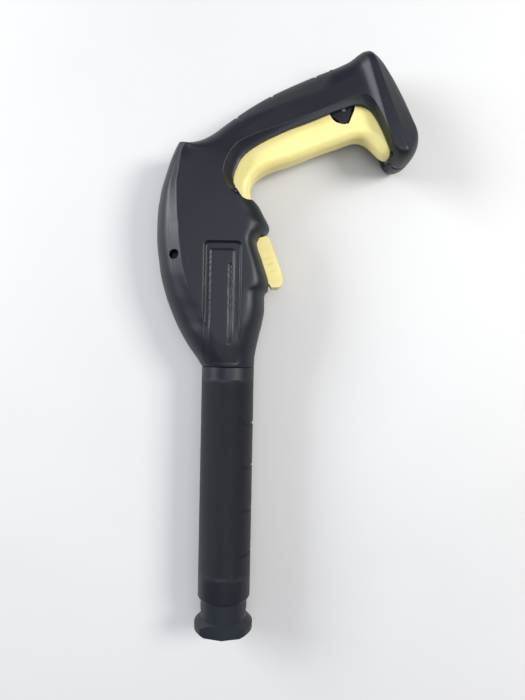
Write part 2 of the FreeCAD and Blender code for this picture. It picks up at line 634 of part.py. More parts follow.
NODES = {
    "barrel_sleeve": sleeve, "lance_socket": lance_socket, "outlet_pipe": outlet_pipe,
    "valve_body": valve_body, "pipe_clip": pipe_clip, "inlet_bushing": inlet_bushing,
    "valve_seat": valve_seat, "valve_poppet": valve_poppet, "poppet_seal": poppet_seal,
    "valve_stem": valve_stem, "stem_collar": stem_collar, "gland_nut": gland_nut,
    "stem_o_ring": stem_o_ring, "gland_washer": gland_washer, "trigger": trigger,
    "trigger_lock": trigger_lock, "release_button": release_button, "latch_hook": latch_hook,
    "housing_screws": screws,
}
for name, make in NODES.items():
    s = make()
    print(name, s.isValid(), len(s.Solids), round(s.Volume), s.BoundBox)
    save(s, name)

save(pipe_o_rings, "pipe_o_rings")
save(Part.makeCompound([spacer(-150.0), spacer(-85.0)]), "pipe_spacers")
save(o_ring(0.93, SEAL_BORE_R + 0.05, V(-30.3, 0, 0), X), "socket_o_ring")
save(torus(PORT_R + 0.95, 0.93, on_port(-13.0), A), "hose_o_ring")
save(cylz(PIVOT_R, PIVOT, -18.8, 18.8), "trigger_pin")
save(cylz(LOCK_R, LOCK, -11.9, 11.9), "lock_pin")
save(cylz(ROCK_R, ROCK, -13.8, 13.8), "button_pin")
save(spring(4.6, 0.55, V(-332.6, 0, 0), V(-313.55, 0, 0), 5), "valve_spring")
save(spring(2.4, 0.35, V(-284.4, 18.65, 0), V(-284.4, 35.9, 0), 6), "button_spring")
save(spring(3.6, 0.5, V(-378.75, 4.25, 0), V(-387.0, -21.35, 0), 7), "trigger_spring")
print("done")
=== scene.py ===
import bpy
import bmesh
import math
import numpy as np
from mathutils import Matrix, Vector


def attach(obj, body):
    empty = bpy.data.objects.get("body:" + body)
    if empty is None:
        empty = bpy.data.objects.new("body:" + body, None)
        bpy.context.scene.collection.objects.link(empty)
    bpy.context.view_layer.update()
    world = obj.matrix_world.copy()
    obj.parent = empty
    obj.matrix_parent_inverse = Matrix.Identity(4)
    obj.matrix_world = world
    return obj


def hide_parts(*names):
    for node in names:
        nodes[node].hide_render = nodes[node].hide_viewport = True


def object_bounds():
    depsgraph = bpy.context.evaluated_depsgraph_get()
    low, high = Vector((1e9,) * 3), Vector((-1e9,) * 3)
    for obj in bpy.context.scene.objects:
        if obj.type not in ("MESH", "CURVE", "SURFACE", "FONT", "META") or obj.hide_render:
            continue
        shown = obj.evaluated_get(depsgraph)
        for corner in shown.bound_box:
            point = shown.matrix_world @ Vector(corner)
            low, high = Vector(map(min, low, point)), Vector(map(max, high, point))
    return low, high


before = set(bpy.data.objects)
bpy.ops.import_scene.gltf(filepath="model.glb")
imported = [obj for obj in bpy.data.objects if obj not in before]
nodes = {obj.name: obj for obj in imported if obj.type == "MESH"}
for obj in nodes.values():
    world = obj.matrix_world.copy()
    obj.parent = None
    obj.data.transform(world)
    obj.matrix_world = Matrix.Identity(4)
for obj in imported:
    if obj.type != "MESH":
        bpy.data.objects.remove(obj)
cad_lo, cad_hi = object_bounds()
MM = 0.001                                           # the shapes below are in mm

# ------------------------------------------------------------------ camera and light
CAM_X, CAM_Y, CAM_Z = -225.9, 27.7, 426.0            # mm, looking straight down
TILT = 0.0192                                        # turn of the picture about the view axis
SENSOR, LENS = 36.0, 27.0                            # mm
MID = (-0.25, 0.02, 0.0)                             # m, what the lights point at
WORLD_COLOR, WORLD_STRENGTH = (0.83, 0.88, 1.0, 1), 0.35


def make_camera():
    data = bpy.data.cameras.new("camera")
    data.sensor_width = SENSOR
    data.lens = LENS
    data.clip_start = 0.01
    cam = bpy.data.objects.new("camera", data)
    bpy.context.scene.collection.objects.link(cam)
    right = Vector((-TILT, 1.0, 0.0)).normalized()
    up = Vector((-1.0, -TILT, 0.0)).normalized()
    cam.matrix_world = Matrix((
        (right.x, up.x, 0.0, CAM_X * MM),
        (right.y, up.y, 0.0, CAM_Y * MM),
        (0.0, 0.0, 1.0, CAM_Z * MM),
        (0.0, 0.0, 0.0, 1.0)))
    bpy.context.scene.camera = cam


def area_light(name, place, size, power, color):
    """A rectangular light at place (m), pointing at MID."""
    data = bpy.data.lights.new(name, "AREA")
    data.shape = "RECTANGLE"
    data.size, data.size_y = size
    data.energy = power
    data.color = color
    light = bpy.data.objects.new(name, data)
    light.location = place
    light.rotation_mode = "QUATERNION"
    light.rotation_quaternion = (Vector(MID) - Vector(place)).to_track_quat("-Z", "Y")
    bpy.context.scene.collection.objects.link(light)


def make_world():
    world = bpy.data.worlds.new("world")
    bpy.context.scene.world = world
    world.use_nodes = True
    background = world.node_tree.nodes["Background"]
    background.inputs["Color"].default_value = WORLD_COLOR
    background.inputs["Strength"].default_value = WORLD_STRENGTH
    bpy.context.scene.view_settings.view_transform = "Standard"


make_camera()
area_light("key", (-0.50, 1.05, 1.05), (0.5, 0.5), 17.0, (1.0, 0.985, 0.96))
area_light("sky", (-0.25, 0.25, 1.9), (1.3, 1.3), 12.0, (0.86, 0.92, 1.0))
area_light("side", (-0.75, -1.3, 0.75), (0.9, 0.6), 26.0, (0.9, 0.95, 1.0))
make_world()


# ------------------------------------------------------------------ materials (in metres)
NOISE_RANGE = (0.3, 0.7)                             # where most of a noise texture's values lie
MIX_FACTOR, MIX_A, MIX_B, MIX_OUT = 0, 6, 7, 2       # the colour sockets of a mix node


class Nodes:
    """A small helper for building a material's nodes."""

    def __init__(self, name):
        self.mat = bpy.data.materials.new(name)
        self.mat.use_nodes = True
        self.tree = self.mat.node_tree
        self.bsdf = self.tree.nodes["Principled BSDF"]
        self.coord = self.tree.nodes.new("ShaderNodeTexCoord").outputs["Object"]

    def add(self, kind, **values):
        """A new node, with each value set on the socket or the property of that name."""
        node = self.tree.nodes.new(kind)
        for key, value in values.items():
            if key in node.inputs:
                node.inputs[key].default_value = value
            else:
                setattr(node, key, value)
        return node

    def link(self, a, b):
        self.tree.links.new(a, b)

    def set(self, name, value):
        self.bsdf.inputs[name].default_value = value

    def drive(self, name, output):
        self.link(output, self.bsdf.inputs[name])

    def put(self, socket, value):
        """Set a socket to a number or a colour, or link an output to it."""
        if isinstance(value, (int, float)):
            socket.default_value = value
        elif isinstance(value, tuple):
            socket.default_value = (*value, 1.0)
        else:
            self.link(value, socket)

    def stretched(self, scale):
        """Object coordinates scaled by a different amount along each axis."""
        node = self.add("ShaderNodeMapping")
        node.inputs["Scale"].default_value = scale
        self.link(self.coord, node.inputs["Vector"])
        return node.outputs[0]

    def xyz(self):
        node = self.add("ShaderNodeSeparateXYZ")
        self.link(self.coord, node.inputs[0])
        return node.outputs

    def noise(self, scale, detail=4.0, rough=0.55, vector=None):
        node = self.add("ShaderNodeTexNoise", Scale=scale, Detail=detail, Roughness=rough)
        self.link(vector or self.coord, node.inputs["Vector"])
        return node.outputs["Fac"]

    def spread(self, value, from_lo, from_hi, to_lo, to_hi):
        node = self.add("ShaderNodeMapRange")
        ends = {"From Min": from_lo, "From Max": from_hi, "To Min": to_lo, "To Max": to_hi}
        for key, end in ends.items():
            node.inputs[key].default_value = end
        self.link(value, node.inputs["Value"])
        return node.outputs["Result"]

    def math(self, operation, a, b=None):
        node = self.add("ShaderNodeMath", operation=operation)
        self.put(node.inputs[0], a)
        if b is not None:
            self.put(node.inputs[1], b)
        return node.outputs[0]

    def mix(self, factor, a, b):
        node = self.add("ShaderNodeMix", data_type="RGBA")
        for index, value in ((MIX_FACTOR, factor), (MIX_A, a), (MIX_B, b)):
            self.put(node.inputs[index], value)
        return node.outputs[MIX_OUT]

    def bump(self, *layers):
        """layers: (height, strength, distance), the last on top."""
        normal = None
        for height, strength, distance in layers:
            node = self.add("ShaderNodeBump", Strength=strength, Distance=distance)
            self.link(height, node.inputs["Height"])
            if normal:
                self.link(normal, node.inputs["Normal"])
            normal = node.outputs["Normal"]
        self.drive("Normal", normal)


CHARCOAL = (0.0050, 0.0060, 0.0100)
KNURL_DEPTH = 0.0008


def black_plastic(name, base=CHARCOAL, rough=0.42, knurl=None, grain=1.0):
    """Moulded charcoal plastic: fine spark grain, handling sheen, dust and small scratches."""
    m = Nodes(name)
    large = m.noise(22.0, 3.0)
    fine = m.noise(2600.0, 2.0)
    dust = m.noise(310.0, 6.0, 0.7)
    scratch = m.noise(1.0, 3.0, 0.6, m.stretched((60.0, 900.0, 900.0)))
    spots = m.spread(dust, 0.62, 0.74, 0.0, 0.55)
    lines = m.spread(scratch, 0.70, 0.76, 0.0, 0.3)
    worn = tuple(c * 1.35 for c in base)
    pale = tuple(min(1, c * 3.2 + 0.012) for c in base)
    toned = m.mix(m.spread(large, *NOISE_RANGE, 0.0, 1.0), base, worn)
    m.drive("Base Color", m.mix(m.math("MAXIMUM", spots, lines), toned, pale))
    sheen = m.spread(large, *NOISE_RANGE, rough - 0.05, rough + 0.06)
    m.drive("Roughness", m.math("ADD", sheen, m.math("MULTIPLY", spots, 0.2)))
    layers = [(fine, 0.10 * grain, 0.0002)]
    if knurl:
        layers.append((knurl(m), 1.0, KNURL_DEPTH))
    m.bump(*layers)
    m.set("Specular IOR Level", 0.36)
    return m.mat


def yellow_plastic(name):
    """Moulded pale yellow plastic, a little translucent, with grime in patches."""
    m = Nodes(name)
    base, deep, grime = (0.86, 0.75, 0.30), (0.79, 0.67, 0.24), (0.42, 0.33, 0.16)
    large = m.noise(30.0, 4.0)
    dirt = m.noise(120.0, 8.0, 0.72)
    fine = m.noise(2200.0, 2.0)
    toned = m.mix(m.spread(large, *NOISE_RANGE, 0.0, 1.0), base, deep)
    m.drive("Base Color", m.mix(m.spread(dirt, 0.60, 0.80, 0.0, 0.45), toned, grime))
    m.drive("Roughness", m.spread(large, *NOISE_RANGE, 0.33, 0.43))
    m.bump((fine, 0.06, 0.0002), (dirt, 0.05, 0.0002))
    m.set("Subsurface Weight", 0.12)
    m.set("Subsurface Radius", (0.004, 0.003, 0.0015))
    m.set("Subsurface Scale", 0.5)
    return m.mat


TURNED = (2500.0, 60.0, 60.0)                        # fine marks round a piece turned about X
DRAWN = (60.0, 60.0, 2500.0)                         # marks along a drawn wire


def metal(name, base, rough=0.3, marks=TURNED):
    m = Nodes(name)
    lines = m.noise(1.0, 3.0, 0.6, m.stretched(marks))
    tone = m.noise(90.0, 4.0)
    darker = tuple(c * 0.8 for c in base)
    m.drive("Base Color", m.mix(m.spread(tone, *NOISE_RANGE, 0, 1), base, darker))
    m.drive("Roughness", m.spread(lines, *NOISE_RANGE, rough - 0.08, rough + 0.1))
    m.bump((lines, 0.08, 0.0001))
    m.set("Metallic", 1.0)
    return m.mat


def rubber(name):
    m = Nodes(name)
    tone = m.noise(200.0, 5.0)
    fine = m.noise(3000.0, 2.0)
    m.drive("Base Color", m.mix(tone, (0.012, 0.012, 0.012), (0.03, 0.03, 0.032)))
    m.drive("Roughness", m.spread(tone, *NOISE_RANGE, 0.5, 0.7))
    m.bump((fine, 0.1, 0.0002))
    return m.mat


SLEEVE_R = 0.021
SLEEVE_PITCH, GRIP_PITCH = 0.0019, 0.0021            # spacing of the ridges
SLEEVE_RISE, SLEEVE_FALL = (-0.203, -0.199), (-0.050, -0.044)
GRIP_COS, GRIP_SIN = 0.92, 0.39                      # turn of the grip's own axes from X and Y
GRIP_RISE, GRIP_FALL, GRIP_FRONT = (0.150, 0.162), (0.232, 0.246), (-0.374, -0.366)


def crossed_ridges(m, u, v, pitch):
    """Two sets of fine ridges that cross."""
    turns = 2 * math.pi / pitch
    a = m.math("SINE", m.math("MULTIPLY", m.math("ADD", u, v), turns))
    b = m.math("SINE", m.math("MULTIPLY", m.math("SUBTRACT", u, v), turns))
    return m.math("MULTIPLY", m.math("ABSOLUTE", m.math("MULTIPLY", a, b)), 0.5)


def window(m, value, rise, fall):
    """1 between the two ramps and 0 outside them."""
    return m.math("MULTIPLY", m.spread(value, *rise, 0.0, 1.0), m.spread(value, *fall, 1.0, 0.0))


def knurl_sleeve(m):
    """The barrel's texture: two sets of ridges wound round the axis, fading at both ends."""
    x, y, z = m.xyz()
    round_axis = m.math("MULTIPLY", m.math("ARCTAN2", z, y), SLEEVE_R)
    ridges = crossed_ridges(m, x, round_axis, SLEEVE_PITCH)
    return m.math("MULTIPLY", ridges, window(m, x, SLEEVE_RISE, SLEEVE_FALL))


def knurl_grip(m):
    """The same texture on the grip's sides, fading out at the body and the butt."""
    x, y, _ = m.xyz()
    u = m.math("ADD", m.math("MULTIPLY", x, GRIP_COS), m.math("MULTIPLY", y, GRIP_SIN))
    v = m.math("ADD", m.math("MULTIPLY", x, -GRIP_SIN), m.math("MULTIPLY", y, GRIP_COS))
    ridges = crossed_ridges(m, u, v, GRIP_PITCH)
    along = window(m, v, GRIP_RISE, GRIP_FALL)
    fade = m.math("MULTIPLY", along, m.spread(u, *GRIP_FRONT, 1.0, 0.0))
    return m.math("MULTIPLY", ridges, fade)


MATS = {
    "housing": black_plastic("charcoal_housing", knurl=knurl_grip),
    "sleeve": black_plastic("charcoal_sleeve", knurl=knurl_sleeve),
    "socket": black_plastic("dark_grey_socket", (0.0085, 0.0105, 0.015), 0.46, grain=1.4),
    "lock": black_plastic("charcoal_lock", rough=0.4),
    "inner": black_plastic("glass_filled_plastic", (0.02, 0.02, 0.021), 0.6),
    "spacer": black_plastic("natural_plastic", (0.03, 0.03, 0.032), 0.55),
    "yellow": yellow_plastic("yellow_trigger"),
    "yellow_button": yellow_plastic("yellow_release"),
    "brass": metal("turned_brass", (0.60, 0.42, 0.16), 0.28),
    "steel": metal("stainless", (0.55, 0.56, 0.58), 0.28),
    "dark_steel": metal("blackened_steel", (0.045, 0.045, 0.05), 0.5),
    "spring": metal("spring_wire", (0.45, 0.46, 0.48), 0.3, DRAWN),
    "rubber": rubber("nitrile_rubber"),
}
USE = {
    "housing": ("housing_left", "housing_right"),
    "sleeve": ("barrel_sleeve",),
    "socket": ("lance_socket",),
    "lock": ("trigger_lock",),
    "inner": ("inlet_bushing", "outlet_pipe"),
    "spacer": ("pipe_spacers",),
    "yellow": ("trigger",),
    "yellow_button": ("release_button",),
    "brass": ("valve_body", "gland_nut", "valve_poppet", "stem_collar"),
    "steel": ("valve_seat", "gland_washer", "valve_stem", "pipe_clip", "latch_hook",
              "trigger_pin", "lock_pin", "button_pin"),
    "dark_steel": ("housing_screws",),
    "spring": ("valve_spring", "button_spring", "trigger_spring"),
    "rubber": ("poppet_seal", "stem_o_ring", "hose_o_ring", "socket_o_ring", "pipe_o_rings"),
}


def dress(obj, key):
    obj.data.materials.clear()
    obj.data.materials.append(MATS[key])


for key, names in USE.items():
    for name in names:
        dress(nodes[name], key)


# ------------------------------------------------------------------ housing: its rows
# One row goes across the housing from the spine to the handle side. It holds
#   the spine's point x, y and the handle side's point x, y;
#   the height of the side face above the middle plane;
#   the weight of the bevel band, and where the band starts and ends, from the spine;
#   the rounding's run and power at the spine, then at the handle side;
#   1 where the trigger slot is open, and the width of the slope up from the slot's rim.
BODY_ROWS = [
    (-212.0, -21.0, -212.0, 21.0, 21.0, 0.0, 21, 27, 21.0, 2.0, 21.0, 2.0, 0, 8),
    (-218.0, -24.8, -218.0, 21.2, 22.2, 0.0, 21, 27, 22.0, 1.95, 21.0, 2.0, 0, 8),
    (-223.5, -28.9, -223.5, 21.8, 23.2, 0.0, 21, 27, 23.0, 1.9, 21.0, 2.0, 0, 8),
    (-231.0, -34.0, -231.0, 23.2, 24.4, 0.1, 20, 26.5, 24.0, 1.8, 21.0, 2.05, 0, 8),
    (-238.8, -38.6, -238.5, 24.8, 25.2, 0.4, 20, 26.2, 24.0, 1.8, 21.0, 2.1, 0, 8),
    (-247.8, -43.2, -247.0, 26.8, 25.5, 0.85, 19.5, 26.0, 25.0, 1.7, 20.0, 2.2, 0, 8),
    (-256.9, -47.0, -256.8, 28.4, 25.5, 1.0, 18.9, 26.0, 25.0, 1.7, 19.0, 2.2, 0, 8),
    (-265.8, -50.4, -264.0, 28.4, 25.5, 1.0, 17.7, 24.8, 25.0, 1.7, 18.0, 2.2, 0, 8),
    (-274.7, -53.1, -271.0, 28.8, 25.5, 1.0, 17.0, 23.2, 25.0, 1.7, 17.0, 2.2, 0, 8),
    (-279.5, -54.4, -274.5, 31.8, 25.5, 1.0, 16.4, 23.0, 25.0, 1.7, 17.0, 2.2, 0, 8),
    (-285.5, -55.8, -279.5, 32.2, 25.5, 1.0, 15.6, 22.6, 25.0, 1.7, 16.0, 2.2, 0, 8),
    (-295.7, -57.2, -288.0, 29.5, 25.5, 1.0, 14.8, 21.8, 25.0, 1.7, 14.0, 2.3, 0, 8),
    (-302.6, -58.2, -298.9, 25.7, 25.5, 1.0, 14.5, 21.6, 25.0, 1.7, 13.0, 2.4, 0, 8),
    (-309.5, -58.9, -306.0, 23.0, 25.5, 1.0, 14.2, 21.3, 25.0, 1.7, 12.0, 2.4, 0, 8),
    (-316.0, -59.2, -311.0, 22.2, 25.5, 1.0, 13.8, 21.0, 25.0, 1.7, 12.0, 2.4, 0, 8),
    (-322.4, -59.2, -315.2, 24.4, 25.5, 1.0, 13.5, 20.8, 25.0, 1.7, 13.0, 2.3, 0, 8),
    (-328.0, -59.1, -318.4, 28.4, 25.5, 1.0, 13.0, 20.0, 25.0, 1.7, 16.0, 2.1, 0, 8),
    (-333.8, -58.8, -323.4, 31.4, 25.5, 1.0, 12.5, 19.2, 25.0, 1.7, 20.0, 2.1, 0, 8),
    (-339.0, -58.4, -330.6, 28.8, 25.5, 1.0, 12.0, 18.5, 25.0, 1.7, 22.0, 2.1, 0, 8),
    (-344.0, -57.5, -337.0, 25.3, 25.5, 1.0, 11.2, 17.2, 25.0, 1.7, 21.0, 2.1, 0, 8),
    (-349.0, -56.7, -342.4, 21.2, 25.5, 1.0, 10.6, 16.3, 25.0, 1.7, 19.0, 2.1, 0, 8),
    (-354.0, -55.6, -345.0, 17.4, 25.5, 1.0, 10.0, 15.0, 25.0, 1.7, 17.0, 2.1, 0.2, 8),
    (-358.6, -54.3, -345.3, 12.9, 25.5, 1.0, 9.5, 14.0, 25.0, 1.7, 15.0, 2.2, 0.7, 8),
    (-362.6, -53.1, -345.8, 9.4, 25.5, 1.0, 9.3, 13.6, 25.0, 1.7, 14.0, 2.4, 1, 8),
    (-367.4, -51.7, -348.4, 6.2, 25.5, 1.0, 9.0, 13.0, 25.0, 1.7, 14.0, 2.4, 1, 8),
    (-375.2, -49.0, -353.6, 3.2, 25.5, 1.0, 8.0, 11.5, 25.0, 1.7, 14.0, 2.4, 1, 8),
    (-380.6, -46.9, -358.4, 2.4, 25.5, 0.9, 7.5, 10.5, 25.0, 1.8, 14.0, 2.4, 1, 8),
    (-385.6, -44.9, -361.8, 2.6, 25.5, 0.6, 7.0, 10.0, 24.0, 1.9, 14.0, 2.4, 1, 8),
    (-389.2, -43.2, -365.2, 3.4, 25.5, 0.3, 7.0, 10.0, 22.0, 2.0, 14.0, 2.4, 1, 8),
]
GRIP_BEVEL = (7.0, 10.0)                             # start and end of the band, all along the grip
HANDLE_ROWS = [row[:6] + GRIP_BEVEL + row[6:] for row in (
    (-389.2, -43.2, -365.2, 3.4, 25.5, 0.3, 22.0, 2.0, 14.0, 2.4, 1, 8),
    (-389.0, -36.8, -368.5, 4.6, 25.4, 0.1, 21.0, 2.0, 14.0, 2.4, 1, 8),
    (-390.2, -30.1, -371.8, 6.0, 25.1, 0.0, 20.0, 2.0, 14.0, 2.4, 1, 8),
    (-392.0, -25.0, -374.7, 7.4, 24.6, 0.0, 19.5, 2.0, 14.0, 2.4, 1, 8),
    (-394.6, -19.9, -377.6, 9.6, 24.0, 0.0, 19.0, 2.0, 14.0, 2.4, 1, 8),
    (-398.8, -13.6, -380.4, 12.2, 23.2, 0.0, 18.5, 2.0, 14.0, 2.4, 1, 8),
    (-403.6, -7.8, -383.6, 16.2, 22.2, 0.0, 18.0, 2.0, 14.0, 2.4, 1, 7.5),
    (-414.8, 6.8, -390.0, 26.5, 20.2, 0.0, 18.0, 2.0, 14.0, 2.4, 1, 6),
    (-422.9, 18.6, -394.8, 36.0, 18.9, 0.0, 18.0, 2.0, 14.0, 2.4, 1, 5),
    (-430.0, 30.6, -399.4, 46.0, 18.1, 0.0, 18.0, 2.0, 14.0, 2.4, 1, 4.5),
    (-438.0, 46.7, -405.5, 61.6, 17.7, 0.0, 18.0, 2.0, 14.0, 2.4, 1, 4.5),
    (-446.2, 65.0, -412.1, 77.1, 17.6, 0.0, 18.0, 2.0, 14.0, 2.4, 1, 4.5),
    (-453.4, 82.5, -417.4, 91.0, 18.0, 0.0, 18.0, 2.0, 14.0, 2.4, 1, 5),
    (-457.9, 91.9, -419.2, 97.5, 18.6, 0.0, 18.0, 2.0, 14.0, 2.4, 1, 6),
    (-459.4, 94.4, -418.6, 103.0, 19.4, 0.0, 18.0, 2.1, 14.0, 2.4, 1, 8),
    (-460.6, 96.2, -415.0, 109.0, 20.6, 0.0, 18.0, 2.1, 14.0, 2.4, 1, 10),
    (-461.6, 97.8, -407.3, 114.5, 22.0, 0.0, 18.0, 2.2, 14.0, 2.4, 1, 12),
    (-462.4, 99.4, -397.9, 119.4, 23.4, 0.0, 18.0, 2.2, 14.0, 2.4, 1, 12),
    (-463.0, 100.8, -386.5, 124.2, 24.4, 0.0, 18.0, 2.3, 12.0, 2.6, 1, 12),
    (-463.3, 101.8, -380.4, 127.0, 24.9, 0.0, 18.0, 2.3, 10.0, 2.8, 0.4, 12),
    (-463.5, 102.8, -376.4, 130.4, 25.2, 0.0, 18.0, 2.3, 9.0, 2.8, 0, 12),
    (-463.7, 103.8, -375.2, 134.4, 25.4, 0.0, 18.0, 2.3, 9.0, 2.8, 0, 12),
    (-463.8, 105.0, -376.0, 138.0, 25.5, 0.0, 18.0, 2.3, 9.0, 2.8, 0, 12),
    (-463.8, 107.0, -377.6, 141.0, 23.6, 0.0, 18.0, 2.3, 9.0, 2.8, 0, 12),
    (-463.0, 109.6, -380.6, 143.8, 21.2, 0.0, 18.0, 2.3, 9.0, 2.8, 0, 12),
    (-460.4, 113.2, -384.6, 146.2, 18.8, 0.0, 17.0, 2.3, 9.0, 2.8, 0, 12),
    (-455.6, 117.2, -389.4, 147.8, 16.6, 0.0, 15.0, 2.3, 9.0, 2.8, 0, 12),
    (-449.0, 121.8, -394.6, 148.3, 14.8, 0.0, 12.0, 2.3, 9.0, 2.8, 0, 12),
    (-438.4, 128.6, -400.4, 147.2, 12.8, 0.0, 10.0, 2.3, 8.0, 2.8, 0, 12),
    (-427.0, 135.6, -405.6, 145.0, 11.0, 0.0, 8.0, 2.3, 6.0, 2.8, 0, 12),
    (-415.0, 141.0, -410.0, 143.0, 9.0, 0.0, 2.5, 2.3, 2.5, 2.8, 0, 12),
    (-412.51, 142.0, -412.49, 142.01, 8.6, 0.0, 0.5, 2.3, 0.5, 2.8, 0, 12),
)]
ROW_STEP = 0.75                                      # spacing of the mesh along the housing
COLS = 130                                           # points across it
SLOT_HALF = 12.6                                     # half the trigger slot's width
RIM_Z = 16.2                                         # height of the slot's rim
RIM_STEP = 1.2                                       # the rim stays this far below the side face
BAND_DROP = 4.0                                      # how far the bevel band falls to the spine
SPINE_WALL = 1.15                                    # run of the wall beside the band
LIP_DEPTHS = (0.0, 1.0, 9.0)                         # the lip's points, back from the rim
EDGE_BLEND = 3.0                                     # power that blends the two sides' rounding


def rows_to_stations(rows):
    """Catmull-Rom through the rows, evenly spaced along the housing."""
    r = np.array(rows, float)
    d = np.maximum(np.hypot(np.diff(r[:, 0]), np.diff(r[:, 1])),
                   np.hypot(np.diff(r[:, 2]), np.diff(r[:, 3])))
    t = np.concatenate([[0], np.cumsum(d)])
    ext = np.vstack([2 * r[0] - r[1], r, 2 * r[-1] - r[-2]])
    te = np.concatenate([[t[0] - d[0]], t, [t[-1] + d[-1]]])
    out = []
    for s in np.linspace(0, t[-1], int(t[-1] / ROW_STEP) + 1):
        i = min(max(np.searchsorted(t, s, side="right") - 1, 0), len(t) - 2)
        p0, p1, p2, p3 = ext[i:i + 4]
        t0, t1, t2, t3 = te[i:i + 4]
        m1 = (p2 - p0) / (t2 - t0) * (t2 - t1)
        m2 = (p3 - p1) / (t3 - t1) * (t2 - t1)
        u = (s - t1) / (t2 - t1)
        h00, h10 = 2 * u**3 - 3 * u**2 + 1, u**3 - 2 * u**2 + u
        h01, h11 = -2 * u**3 + 3 * u**2, u**3 - u**2
        out.append(h00 * p1 + h10 * m1 + h01 * p2 + h11 * m2)
    return np.array(out)


def round_side(x, n):
    """Rises from 0 to 1 like the quarter of a rounded rectangle of power n."""
    return (1 - (1 - np.clip(x, 0, 1)) ** n) ** (1.0 / n)


def smooth(x):
    x = np.clip(x, 0, 1)
    return x * x * (3 - 2 * x)


def spine_height(d, h, bevel, start, end, run, power):
    """Height at d from the spine: rounded, or a steep wall and then a flat bevel band."""
    rounded = h * round_side(d / run, power)
    low = h - BAND_DROP
    wall = low * round_side(d / (SPINE_WALL * start), 1.8) / round_side(1 / SPINE_WALL, 1.8)
    band = low + (h - low) * np.clip((d - start) / (end - start), 0, 1)
    return (1 - bevel) * rounded + bevel * np.where(d < start, np.minimum(wall, low), band)


def handle_height(e, h, run, power, slot, slope):
    """Height at e from the handle side: rounded, or a slope up from the slot's rim."""
    rounded = h * round_side(e / run, power)
    x = np.clip(e / slope, 0, 1)
    rim = np.minimum(RIM_Z, h - RIM_STEP)
    sloped = rim + (h - rim) * (0.35 * x + 0.65 * x ** 1.7)
    return (1 - slot) * rounded + slot * sloped


def half_points():
    """Grid of points over one half's outside, plus the turned-in lip of the trigger slot."""
    st = np.vstack([rows_to_stations(BODY_ROWS), rows_to_stations(HANDLE_ROWS)[1:]])
    spine, hand = st[:, 0:2], st[:, 2:4]
    (h, bevel, start, end, spine_run, spine_power, hand_run, hand_power, slot,
     slope) = [st[:, k][:, None] for k in range(4, 14)]
    slot = smooth(slot)
    width = np.hypot(*(hand - spine).T)[:, None]
    across = (hand - spine) / width
    d = width * (0.5 - 0.5 * np.cos(np.pi * np.linspace(0, 1, COLS)[None, :]))
    fit = np.minimum(1.0, width / (spine_run + hand_run))
    from_spine = spine_height(d, h, bevel, start, end, spine_run * fit, spine_power)
    from_hand = handle_height(width - d, h, hand_run * fit, hand_power, slot, slope)
    m = EDGE_BLEND
    drop = np.clip(h - from_spine, 0, None) ** m + np.clip(h - from_hand, 0, None) ** m
    z = np.clip(h - drop ** (1 / m), 0, None)
    z[:, 0] = 0.0
    xy = spine[:, None, :] + across[:, None, :] * d[:, :, None]
    points = details(np.dstack([xy, z]))
    is_open = slot[:, 0] > 0.5
    lip = []
    for back in LIP_DEPTHS:
        p = np.zeros((len(st), 3))
        p[:, :2] = hand - across * back * is_open[:, None]
        p[:, 2] = np.where(is_open, SLOT_HALF, 0.0)
        lip.append(p)
    return np.concatenate([points, np.stack(lip, 1)], 1)


# ------------------------------------------------------------------ housing: its surface details
PANEL = (-309.0, -226.0, -18.5, 10.5)                # x0, x1, y0, y1 of the sunk name panel
PANEL_SINK, PANEL_SLOPE, PANEL_CORNER = 2.5, 1.4, 4.0
PANEL_END = 12.0                                     # how far the frame runs on to the barrel
PANEL_FADE = 26.0                                    # length over which it runs out
PLATE_RISE, PLATE_SLOPE, PLATE_CORNER = 1.3, 0.9, 2.0
GROOVE = (-292.0, -229.0, 0.6, 2.9)                  # x0, x1, y0, y1 of the plate's long groove
GROOVE_SINK, GROOVE_SLOPE, GROOVE_CORNER = 1.0, 0.7, 0.8
SIDE_FACE_Z = 15                                     # the panel is cut only above this height
GRIP_GROOVES = [((-413.2, 1.8), (-403.9, 7.3)), ((-431.3, 30.2), (-420.2, 34.7)),
                ((-447.6, 64.5), (-434.4, 69.3))]    # from the spine, towards the handle side
GRIP_GROOVE_SINK, GRIP_GROOVE_HALF = 1.3, 0.9


def box_distance(x, y, x0, x1, y0, y1, r):
    """Signed distance to a rounded rectangle, negative inside."""
    cx, cy, hx, hy = (x0 + x1) / 2, (y0 + y1) / 2, (x1 - x0) / 2 - r, (y1 - y0) / 2 - r
    qx, qy = np.abs(x - cx) - hx, np.abs(y - cy) - hy
    return np.hypot(np.maximum(qx, 0), np.maximum(qy, 0)) + np.minimum(np.maximum(qx, qy), 0) - r


def panel_depth(x, y):
    """Depth of the sunk frame that runs out to the barrel, the plate in it and its groove."""
    x0, x1, y0, y1 = PANEL
    run_out = smooth((x1 - 2 - x) / PANEL_FADE)
    frame_edge = box_distance(x, y, x0, x1 + PANEL_END, y0, y1, PANEL_CORNER)
    plate_edge = box_distance(x, y, x0 + 6, x1 + 8, y0 + 4.5, y1 - 5.5, PLATE_CORNER)
    groove_edge = box_distance(x, y, *GROOVE, GROOVE_CORNER)
    depth = PANEL_SINK * smooth(-frame_edge / PANEL_SLOPE) * (0.15 + 0.85 * run_out)
    depth -= PLATE_RISE * smooth(-plate_edge / PLATE_SLOPE) * run_out
    depth += GROOVE_SINK * smooth(-groove_edge / GROOVE_SLOPE)
    return depth


